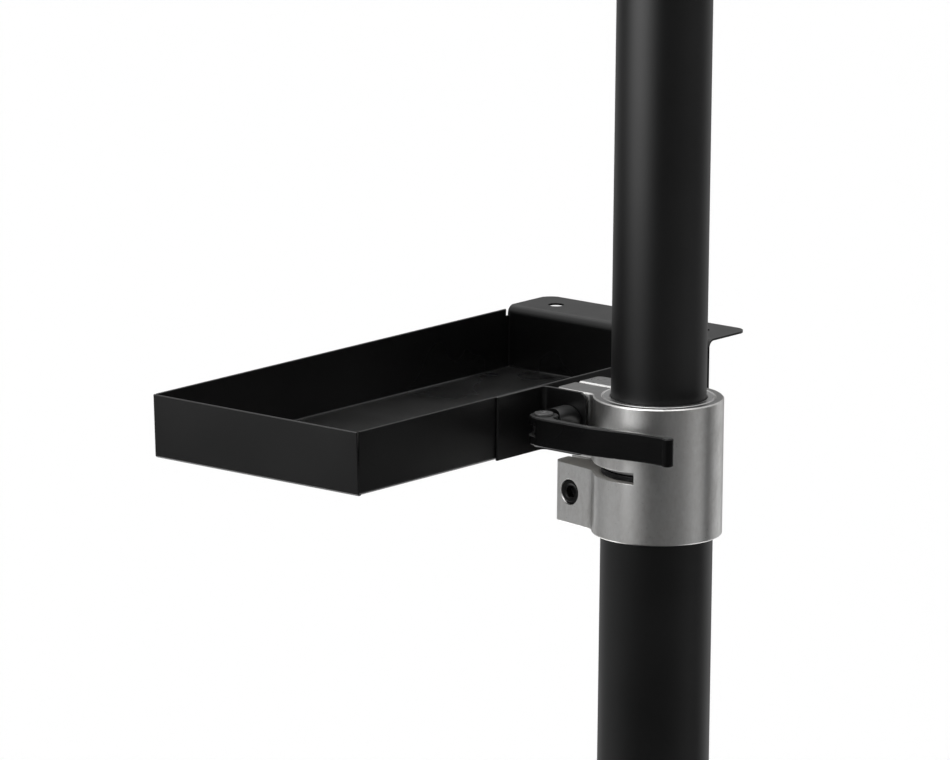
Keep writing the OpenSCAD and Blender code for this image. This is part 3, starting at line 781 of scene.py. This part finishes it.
def tray_walls(bend_z):
    """Floor and long walls as one trough, notched at its far end to clear the shelf's bend."""
    x0, x1, z0, z1 = TRAY_LOW.x, TRAY_HIGH.x, TRAY_LOW.z, COLLAR_TOP
    r = FOLD_R
    line = [(x1, z1)] + arc(x1 - r, z0 + r, r, 360, 270, 6) + arc(x0 + r, z0 + r, r, 270, 180, 6)
    line += [(x0, z1)]
    trough = slab([sheet_outline(line, SHEET)], TRAY_FOOT_Y + TRAY_SEAM, SHELF_Y, rim=0.25)
    obj = loose(moved(trough, matrix=UPRIGHT))
    notch = slab([rectangle(x0 - 5, SHELF_Y - 4, x1 + 5, SHELF_Y + 5)], bend_z - 1, z1 + 5, 0)
    combine(obj, [notch], "DIFFERENCE")
    return obj


def tray_near_wall():
    """The end wall that leans out, a seam's width away from the long walls."""
    y, z0 = TRAY_FOOT_Y, TRAY_LOW.z
    line = [(y + 2.5, z0), (y + 0.8, z0), (y, z0 + 0.8), (TRAY_LOW.y, COLLAR_TOP)]
    x0, x1 = TRAY_LOW.x + TRAY_SEAM, TRAY_HIGH.x - TRAY_SEAM
    return loose(moved(slab([sheet_outline(line, SHEET)], x0, x1, rim=0.25), matrix=SIDEWAYS))


def tray_shelf(bend_r, bend_z):
    """Far wall and shelf in one bent sheet, with rounded outer corners and screwdriver holes."""
    x0, x1, z0 = TRAY_LOW.x, TRAY_HIGH.x, TRAY_LOW.z
    shelf_z = TRAY_HIGH.z
    line = [(TRAY_HIGH.y, shelf_z - SHEET)]
    line += arc(SHELF_Y + bend_r, bend_z, bend_r, 90, 180, 10)
    line += arc(SHELF_Y - FOLD_R, z0 + FOLD_R, FOLD_R, 360, 270, 6) + [(SHELF_Y - 12, z0)]
    obj = loose(moved(slab([sheet_outline(line, SHEET)], x0, x1, rim=0.25), matrix=SIDEWAYS))
    cutters = []
    for x, inward in ((x0, 1), (x1, -1)):
        waste = [(x + inward * dx, TRAY_HIGH.y - dy) for dx, dy in corner_waste(9, 10)]
        cutters.append(slab([waste], shelf_z - 6, shelf_z + 6, 0))
    for k in range(3):
        hole_x = x0 + DRIVER_X + DRIVER_PITCH * k
        cutters.append(moved(disc(DRIVER_R, 12, 0), hole_x, SHELF_Y + DRIVER_Y, shelf_z - 6))
    combine(obj, cutters, "DIFFERENCE")
    return obj


def build_tray():
    bend_r = 3.5
    bend_z = TRAY_HIGH.z - SHEET - bend_r
    obj = tray_shelf(bend_r, bend_z)
    join(obj, tray_walls(bend_z), tray_near_wall())
    finish_piece(obj, "tool_tray", TRAY_PAINT, "stand")


# ---- base ----

def build_base():
    lowest, highest = low("base_plate"), high("base_plate")
    x_mid = (lowest.x + highest.x) / 2
    inset_x, inset_y = highest.x - x_mid - 35, highest.y - 35
    loops = [rectangle(lowest.x, lowest.y, highest.x, highest.y, 45, 16)]
    loops += [hole(x_mid + sx * inset_x, sy * inset_y, 5.5) for sx in (-1, 1) for sy in (-1, 1)]
    plate = slab(loops, lowest.z, highest.z, rim=1.5, rim_steps=4)
    piece("base_plate", plate, BASE_PAINT, "stand")
    z0, z1 = span("base_flange", "z")
    tube_foot = low("lower_tube").z
    spigot_r = LOWER_BORE - 0.05
    profile = [(20, z0, 0), (75, z0, 0.5), (75, tube_foot, 2), (spigot_r, tube_foot, 0.3),
               (spigot_r, z1, 1), (20, z1, 0.5)]
    piece("base_flange", turned(profile, 128), BASE_PAINT, "stand")
    places = [Matrix.Rotation(math.radians(a), 4, "Z") @ Matrix.Translation((58, 0, tube_foot))
              for a in (45, 135, 225, 315)]
    bolts = repeat(cap_screw(5, 20, 8, 10, 4.2), places)
    piece("flange_bolts", bolts, BLACK_SCREW, "stand")
    screw_z = middle("column_screws").z
    screw = moved(cap_screw(4, 9, 6.5, 5, 2.9), LOWER_R + 0.05, 0, screw_z, TO_X)
    piece("column_screws", both_ways(screw), BLACK_SCREW, "stand")


# ---- inside the column ----

def build_guide():
    z0, z1 = span("guide_ring", "z")
    ring = tube_solid(LOWER_BORE - 0.05, UPPER_R + 0.05, z0, z1, 0.3)
    piece("guide_ring", ring, NYLON, "guide")
    z0, z1 = span("guide_clip", "z")
    outline = arc(0, 0, LOWER_BORE - 0.5, -173, 173, 80) + arc(0, 0, UPPER_R + 0.02, 173, -173, 80)
    clip = slab([outline], z0, z1, rim=0.15, rim_steps=2)
    piece("guide_clip", clip, BRIGHT_STEEL, "mast")
    z0, z1 = span("end_plug", "z")
    bore = UPPER_BORE - 0.02
    profile = [(4, z0, 0.3), (LOWER_BORE - 0.5, z0, 1), (LOWER_BORE - 0.5, z0 + 4, 0.3),
               (bore, z0 + 4, 0.3), (bore, z1, 0.8), (bore - 3, z1, 0.5), (bore - 3, z0 + 8, 1),
               (4, z0 + 8, 0.3)]
    piece("end_plug", turned(profile), BLACK_PLASTIC, "mast")


# ---- head housing ----

def build_housing():
    """The cast head: an upright and a cross barrel, with a slotted clamp lug on top."""
    foot = low("head_housing").z
    tube_top = high("upper_tube").z
    obj = loose(moved(disc(31, HEAD_Z - foot, 2, 96), 0, 0, foot))
    barrel = moved(disc(33, 2 * BARREL_HALF, 2.5, 96), -BARREL_HALF, 0, HEAD_Z, TO_X)
    foot_lip = moved(disc(33, 9, 2, 96), 0, 0, foot)
    lug_end = moved(disc(12, 28, 1.5), 0, -14, LOCK_Z, TO_Y)
    lug_body = slab([rectangle(-12, -14, 12, 14, 1.5)], HEAD_Z + 10, LOCK_Z, 0)
    web = slab([rounded([(-30, -46, 0), (30, -46, 0), (40, -12, 3), (-40, -12, 3)])], -5, 5, 1.5)
    gusset = moved(web, 0, 0, HEAD_Z, TO_MINUS_Y)
    combine(obj, [barrel, foot_lip, lug_end, lug_body, gusset], "UNION")
    melt(obj, 1.2, 9)
    tube_bore = moved(disc(UPPER_R + 0.02, tube_top - foot + 10.5, 0, 128), 0, 0, foot - 10)
    arm_bore = moved(disc(BUSH_R + 0.02, THROUGH, 0, 128), -HALF_THROUGH, 0, HEAD_Z, TO_X)
    slit = slab([rectangle(-60, -1.5, 60, 1.5)], HEAD_Z, HEAD_Z + 70, 0)
    bolt_hole = moved(disc(4.3, THROUGH, 0), 0, -HALF_THROUGH, LOCK_Z, TO_Y)
    combine(obj, [tube_bore, arm_bore, slit, bolt_hole], "DIFFERENCE")
    finish_piece(obj, "head_housing", HEAD_PAINT, "mast")
    screw_z = middle("housing_screws").z
    screw = moved(cap_screw(4, 5.2, 6.5, 5, 2.9), 0, 31.05, screw_z, TO_Y)
    piece("housing_screws", both_ways(screw), BLACK_SCREW, "mast")


def build_bushes():
    inner_r, flange_r = ARM_R + 0.05, ARM_R + 7
    x = BARREL_HALF + 0.05
    profile = [(inner_r, x - 26, 0.3), (BUSH_R, x - 26, 0.3), (BUSH_R, x, 0), (flange_r, x, 0.3),
               (flange_r, x + 1.5, 0.5), (inner_r, x + 1.5, 0.3)]
    bush = moved(turned(profile, 96, 3), 0, 0, HEAD_Z, TO_X)
    piece("head_bushes", both_ways(bush), NYLON, "mast")


def build_lock():
    """The bolt that closes the head's slot, and its lever: boss, tapered arm and ball grip."""
    head = moved(disc(8, 6, 0.8), 0, 14, LOCK_Z, TO_Y)
    shank = moved(disc(4, 51, 0.4, 48), 0, 14.5, LOCK_Z, TO_MINUS_Y)
    end = moved(disc(6.5, 3, 0.6), 0, -35.3, LOCK_Z, TO_MINUS_Y)
    piece("lock_bolt", together(head, shank, end), BRIGHT_STEEL, "mast")
    grip_r, grip_x = 9.2, -78
    obj = loose(disc(10, 20, 1.2))
    taper = rounded([(grip_x, -4.2, 2), (0, -7.5, 2), (0, 7.5, 2), (grip_x, 4.2, 2)])
    ball = lathe([(grip_r * math.sin(a), grip_r - grip_r * math.cos(a))
                  for a in (math.pi * k / 24 for k in range(25))], 48)
    combine(obj, [slab([taper], 8.5, 17.5, 1.5), moved(ball, grip_x, 0, 4)], "UNION")
    melt(obj, 0.7, 6)
    combine(obj, [moved(disc(4.05, 40, 0), 0, 0, -10)], "DIFFERENCE")
    put_at(obj, (0, -15, LOCK_Z), TO_MINUS_Y)
    finish_piece(obj, "lock_lever", BLACK_PLASTIC, "lock_lever")


# ---- rotating arm and jaws ----

def build_arm():
    """The arm's shaft, the two shaft collars that hold it, and the plug in its free end."""
    x0, x1 = span("arm_shaft", "x")
    shaft = moved(tube_solid(ARM_R, ARM_R - 4, x0, x1, 0.6, 128), 0, 0, HEAD_Z, TO_X)
    piece("arm_shaft", shaft, SHAFT_STEEL, "head")
    inner, outer = BARREL_HALF + 2, high("shaft_collars").x
    collar = tube_solid(ARM_R + 9, ARM_R + 0.02, inner, outer, 1.0, 96)
    obj = loose(moved(collar, 0, 0, HEAD_Z, TO_X))
    grub_hole = moved(disc(2.6, 20, 0, 32), (inner + outer) / 2, 0, HEAD_Z + ARM_R + 1)
    combine(obj, [grub_hole], "DIFFERENCE")
    other = obj.copy()
    other.data = obj.data.copy()
    other.data.transform(Matrix.Rotation(math.pi, 4, "Z"))
    join(obj, other)
    finish_piece(obj, "shaft_collars", BLACK_SCREW, "head")
    plug_r = ARM_R - 4.02
    profile = [(0, 0, 0), (ARM_R - 6, 0, 1), (ARM_R, 2.5, 2), (ARM_R, 5, 0.2), (plug_r, 5, 0.2),
               (plug_r, 21, 1), (0, 21, 0)]
    plug = moved(turned(profile), low("shaft_plug").x, 0, HEAD_Z, TO_X)
    piece("shaft_plug", plug, BLACK_PLASTIC, "head")


def rod_bores(gap):
    """The bores for the two guide rods, with a gap round each, and the spindle between them."""
    bores = [(ROD_R + gap, -ROD_RISE), (ROD_R + gap, ROD_RISE), (SPINDLE_R + 0.1, 0)]
    return [moved(disc(r, THROUGH, 0), ROD_X, -HALF_THROUGH, HEAD_Z + rise, TO_Y)
            for r, rise in bores]


def build_jaw_frame():
    """The C-shaped frame with its hub on the shaft, the hub's screws and the guide rods."""
    lowest, highest = low("jaw_frame"), high("jaw_frame")
    y0, y1, tip = lowest.y, highest.y, highest.x
    back_x, plate_x, jaw_y = 150, 162, high("fixed_pad").y
    outline = rounded([(back_x, y0, 5), (ROD_X + 16, y0, 5), (ROD_X + 16, y0 + 13, 5),
                       (plate_x, y0 + 13, 7), (plate_x, jaw_y, 7), (tip, jaw_y, 2), (tip, y1, 7),
                       (back_x, y1, 5)])
    obj = loose(slab([outline], lowest.z, highest.z, rim=2.0, rim_steps=4))
    hub = turned([(0, 0, 0), (25, 0, 1.5), (25, 38, 6), (29, 48, 2), (0, 48, 0)], 96, 6)
    combine(obj, [moved(hub, lowest.x, 0, HEAD_Z, TO_X)], "UNION")
    shaft_bore = moved(disc(ARM_R + 0.02, 58, 0, 128), 90, 0, HEAD_Z, TO_X)
    combine(obj, [shaft_bore] + rod_bores(0.02), "DIFFERENCE")
    finish_piece(obj, "jaw_frame", HEAD_PAINT, "head")
    screws = [moved(cap_screw(4, 6.6, 6.5, 5, 2.9), x, 0, HEAD_Z + 25.05) for x in (117, 135)]
    piece("frame_screws", together(*screws), BLACK_SCREW, "head")
    y0, y1 = span("guide_rods", "y")
    rods = [moved(disc(ROD_R, y1 - y0, 0.6), ROD_X, y0, HEAD_Z + rise, TO_Y)
            for rise in (-ROD_RISE, ROD_RISE)]
    piece("guide_rods", together(*rods), SHAFT_STEEL, "head")


def pad_outline():
    """A jaw pad in plan, on the +Y side: its groove has fine grip ribs."""
    x0, x1 = span("fixed_pad", "x")
    y0, y1 = span("fixed_pad", "y")
    grip_r = 15.8
    ribs = 9
    steps = ribs * 8
    reach = math.degrees(math.asin(y0 / grip_r)) + 4
    outline = arc(x1 - 4, y1 - 4, 4, 0, 90, 6) + arc(x0 + 4, y1 - 4, 4, 90, 180, 6)
    outline += arc(x0 + 2, y0 + 2, 2, 180, 270, 6)
    for i in range(steps + 1):
        a = math.radians(180 - reach - (180 - 2 * reach) * i / steps)
        r = grip_r + 0.25 * (1 - math.cos(TAU * ribs * i / steps))
        outline.append((JAW_X + r * math.cos(a), r * math.sin(a)))
    return outline + arc(x1 - 2, y0 + 2, 2, 270, 360, 6)


def build_jaws():
    pad = slab([pad_outline()], *span("fixed_pad", "z"), rim=1.5, rim_steps=4)
    piece("fixed_pad", pad, PAD_RUBBER, "head")
    mirrored = ([(x, -y, z) for x, y, z in pad[0]], [face[::-1] for face in pad[1]])
    piece("moving_pad", mirrored, PAD_RUBBER, "jaw")
    lowest, highest = low("moving_jaw"), high("moving_jaw")
    outline = rounded([(lowest.x, lowest.y, 4), (highest.x, lowest.y, 7), (highest.x, highest.y, 2),
                       (lowest.x, highest.y, 4)])
    obj = loose(slab([outline], lowest.z, highest.z, rim=2.0, rim_steps=4))
    combine(obj, rod_bores(0.05), "DIFFERENCE")
    finish_piece(obj, "moving_jaw", HEAD_PAINT, "jaw")


def threaded(r, depth, pitch, starts, length, around=40, rows_per_pitch=8):
    """A rod from z = 0 with a helical thread cut into it."""
    rows = round(length / pitch * rows_per_pitch)
    verts = [(0.0, 0.0, 0.0)]
    for k in range(rows + 1):
        z = length * k / rows
        ends = min(1.0, z / pitch, (length - z) / pitch)
        for i in range(around):
            turn = i / around
            phase = (z / pitch - turn * starts) % 1.0
            groove = min(1.0, max(0.0, 2.2 - abs(phase - 0.5) * 6)) * ends
            radius = r - depth * groove
            verts.append((radius * math.cos(TAU * turn), radius * math.sin(TAU * turn), z))
    verts.append((0.0, 0.0, length))
    faces = []
    for i in range(around):
        j = (i + 1) % around
        faces.append((0, 1 + j, 1 + i))
        faces.append((len(verts) - 1, 1 + rows * around + i, 1 + rows * around + j))
        for k in range(rows):
            a = 1 + k * around
            faces.append((a + i, a + j, a + around + j, a + around + i))
    return verts, faces


def build_spindle():
    y0, y1 = span("spindle", "y")
    bearing_y = low("jaw_frame").y + 13
    plain_end = moved(disc(SPINDLE_R, bearing_y - y0 + 1, 0.8), ROD_X, y0, HEAD_Z, TO_Y)
    shoulder = moved(disc(10, 5, 0.6), ROD_X, bearing_y + 0.2, HEAD_Z, TO_Y)
    thread = threaded(SPINDLE_R, 1.1, 5, 2, y1 - bearing_y - 1)
    thread = moved(thread, ROD_X, bearing_y + 1, HEAD_Z, TO_Y)
    solid = together(plain_end, shoulder, thread)
    piece("spindle", solid, BRIGHT_STEEL, "spindle", angle=math.radians(50))


def build_handwheel():
    """A wheel with a round rim, three tapered spokes and a boss for the crank's pin."""
    rim_r = 6
    rim_at = high("handwheel").x - ROD_X - rim_r
    obj = loose(lathe(circle(rim_at, 0, rim_r, 32), 128))
    hub = turned([(0, -7, 0), (11, -7, 1), (14, 3, 2), (13, 13, 1.5), (0, 13, 0)], 64)
    spoke = lathe([(0, 0), (5.2, 0), (3.8, rim_at * 0.55), (4.6, rim_at), (0, rim_at)], 32)
    spokes = [moved(spoke, matrix=Matrix.Rotation(math.radians(a), 3, "Z") @ TO_X)
              for a in (30, 150, 270)]
    boss = moved(disc(6.5, 12, 0.8, 48), rim_at, 0, -6)
    combine(obj, [hub, boss] + spokes, "UNION")
    melt(obj, 0.8, 7)
    bore = moved(disc(SPINDLE_R + 0.02, 60, 0), 0, 0, -30)
    pin_hole = moved(disc(3.02, 40, 0), rim_at, 0, -20)
    combine(obj, [bore, pin_hole], "DIFFERENCE")
    put_at(obj, (ROD_X, low("spindle").y + 8, HEAD_Z), TO_Y)
    finish_piece(obj, "handwheel", BLACK_PLASTIC, "spindle")
    screw_y = high("wheel_screw").y - 12
    screw = moved(cap_screw(3, 12, 9, 3, 2.9), ROD_X, screw_y, HEAD_Z, TO_MINUS_Y)
    piece("wheel_screw", screw, BLACK_SCREW, "spindle")


def build_crank():
    knob_x = middle("crank_knob").x
    foot, end = high("crank_pin").y, low("crank_pin").y
    pin = moved(disc(3, foot - end - 1, 0.3, 48), knob_x, foot, HEAD_Z, TO_MINUS_Y)
    pin_head = moved(disc(5, 2, 0.7, 48), knob_x, end + 2, HEAD_Z, TO_MINUS_Y)
    piece("crank_pin", together(pin, pin_head), BRIGHT_STEEL, "spindle")
    foot = high("crank_knob").y
    length = foot - low("crank_knob").y
    profile = [(3.05, 0, 0.3), (7, 0, 0.8), (7.4, 3, 1.5), (9.5, length * 0.6, 12),
               (8, length - 1.5, 3), (6, length, 1.5), (3.05, length, 0.3)]
    knob = moved(turned(profile, 64, 8), knob_x, foot, HEAD_Z, TO_MINUS_Y)
    piece("crank_knob", knob, BLACK_PLASTIC, "crank_knob")


# ---- stage, light and camera ----

def smooth_step(value, start, end):
    u = min(1.0, max(0.0, (value - start) / (end - start)))
    return u * u * (3 - 2 * u)


def build_floor():
    size = 60000
    corners = [(-size, -size), (size, -size), (size, size), (-size, size)]
    floor = loose(([(x, y, -0.5) for x, y in corners], [(0, 1, 2, 3)]))
    floor.name = "floor"
    pale = grey(0.87)
    paint = Paint("floor_paint").set(Base_Color=pale, Roughness=0.9, Emission_Color=pale,
                                     Emission_Strength=0.15)
    floor.data.materials.append(paint)
    floor.visible_glossy = False


def build_camera():
    """The reference view: a long lens from the front right, slightly above the collar."""
    az, el, roll = (math.radians(v) for v in (VIEW_AZIMUTH, VIEW_ELEVATION, VIEW_ROLL))
    back = Vector((math.sin(az) * math.cos(el), -math.cos(az) * math.cos(el), math.sin(el)))
    level = (-back).cross(Vector((0, 0, 1))).normalized()
    upright = level.cross(-back)
    right = level * math.cos(roll) + upright * math.sin(roll)
    up = upright * math.cos(roll) - level * math.sin(roll)
    aside = Vector((math.cos(az), math.sin(az), 0)) * VIEW_LEFT
    place = Vector((0, 0, COLLAR_TOP + VIEW_RISE)) - aside + back * VIEW_DISTANCE
    data = bpy.data.cameras.new("camera")
    data.sensor_width = 36
    data.lens = FOCAL * data.sensor_width / IMAGE_W
    data.clip_start = 0.1
    data.clip_end = 200
    camera = bpy.data.objects.new("camera", data)
    turn = Matrix((right, up, back)).transposed()
    camera.matrix_world = Matrix.Translation(place * MM) @ turn.to_4x4()
    bpy.context.scene.collection.objects.link(camera)
    bpy.context.scene.camera = camera


def build_softbox():
    """The key light: a curved softbox at the camera's left, fading to its sides and lower edge."""
    distance = 500
    left, centre, right = -104, -58, -10
    bottom, full, top = 780, 1060, 2000
    angles = [left + (right - left) * i / 32 for i in range(33)]
    heights = [bottom + (full - bottom) * k / 16 for k in range(17)] + [top]
    verts = []
    glow = []
    for angle in angles:
        a = math.radians(VIEW_AZIMUTH - 90 + angle)
        side = smooth_step(angle, left, centre) * smooth_step(-angle, -right, -centre)
        for z in heights:
            verts.append((distance * math.cos(a), distance * math.sin(a), z))
            glow.append(side * smooth_step(z, bottom, full))
    rows = len(heights)
    faces = [(i * rows + k, i * rows + k + 1, i * rows + rows + k + 1, i * rows + rows + k)
             for i in range(len(angles) - 1) for k in range(rows - 1)]
    box = loose((verts, faces))
    box.name = "softbox"
    box.data.attributes.new("glow", "FLOAT", "POINT").data.foreach_set("value", glow)
    box.data.materials.append(softbox_light())
    box.visible_camera = False
    box.visible_diffuse = False
    box.visible_shadow = False


def softbox_light():
    """Light that only reflections see; to everything else the softbox is clear."""
    p = Paint("softbox")
    p.tree.nodes.remove(p.surface)
    level = p.add("Attribute", attribute_name="glow").outputs["Fac"]
    lit = p.add("Emission", {"Color": grey(1), "Strength": p.maths("MULTIPLY", level, 3.9)})
    clear = p.add("BsdfTransparent").outputs["BSDF"]
    both = p.add("AddShader", {0: clear, 1: lit.outputs["Emission"]}).outputs[0]
    reflected = p.add("LightPath").outputs["Is Glossy Ray"]
    choice = p.add("MixShader", {0: reflected, 1: clear, 2: both}).outputs[0]
    p.put(p.tree.nodes["Material Output"].inputs["Surface"], choice)
    return p.material


# The studio as reflections see it round the horizon and on the floor: (degrees from the camera,
# positive to its right, brightness).
PANELS = ((-180, 0.22), (-160, 0.35), (-145, 0.50), (-130, 0.22), (-100, 0.13), (-75, 0.12),
          (-50, 0.13), (-40, 0.09), (0, 0.05), (50, 0.05), (84, 0.03), (104, 0.04), (118, 0.32),
          (140, 0.60), (160, 0.40), (180, 0.22))
FLOOR = ((-180, 1.60), (-130, 2.80), (-105, 3.00), (-85, 1.60), (-70, 0.60), (-58, 0.12),
         (-38, 0.08), (0, 0.16), (25, 0.24), (45, 0.45), (60, 0.90), (80, 2.60), (95, 3.00),
         (101, 0.00), (108, 0.00), (114, 1.50), (143, 1.60), (180, 1.50))


def brightness_round(p, angle, stops):
    """A brightness that follows the stops round the horizon."""
    ramp = p.add("ValToRGB", {"Fac": p.ramp(angle, -math.pi, math.pi)})
    elements = ramp.color_ramp.elements
    elements.remove(elements[-1])
    for i, (degrees, value) in enumerate(stops):
        position = (degrees + 180) / 360
        stop = elements[0] if i == 0 else elements.new(position)
        stop.position = position
        stop.color = grey(value)
    return ramp.outputs["Color"]


def build_light():
    """Soft white light from all sides; reflections see the studio's panels and its dark gaps."""
    world = bpy.data.worlds.new("studio")
    bpy.context.scene.world = world
    p = Nodes(world)
    world.cycles.sampling_method = "NONE"
    direction = p.add("TexCoord").outputs["Generated"]
    facing = (0, 0, math.radians(90 - VIEW_AZIMUTH))
    from_camera = p.add("Mapping", {"Vector": direction, "Rotation": facing}).outputs["Vector"]
    parts = p.add("SeparateXYZ", {"Vector": from_camera}).outputs
    angle = p.maths("ARCTAN2", parts["Y"], parts["X"])
    seen = grey(0.15)
    layers = ((-0.92, -0.78, brightness_round(p, angle, FLOOR)),
              (-0.62, -0.34, brightness_round(p, angle, PANELS)),
              (0.34, 0.52, grey(0.75)),
              (0.80, 0.95, grey(3.0)))
    for start, end, layer in layers:
        seen = p.mix(p.ramp(parts["Z"], start, end), seen, layer)
    reflected = p.add("LightPath").outputs["Is Glossy Ray"]
    background = p.tree.nodes["Background"]
    p.put(background.inputs["Color"], p.mix(reflected, grey(1), seen))


for build in (build_tubes, build_collar, build_bush, build_collar_screw, build_skewer,
              build_cam_seat, build_lever, build_bracket, build_tray, build_base, build_guide,
              build_housing, build_bushes, build_lock, build_arm, build_jaw_frame, build_jaws,
              build_spindle, build_handwheel, build_crank, build_floor, build_camera,
              build_softbox, build_light):
    build()

bpy.context.scene.view_settings.view_transform = "Standard"
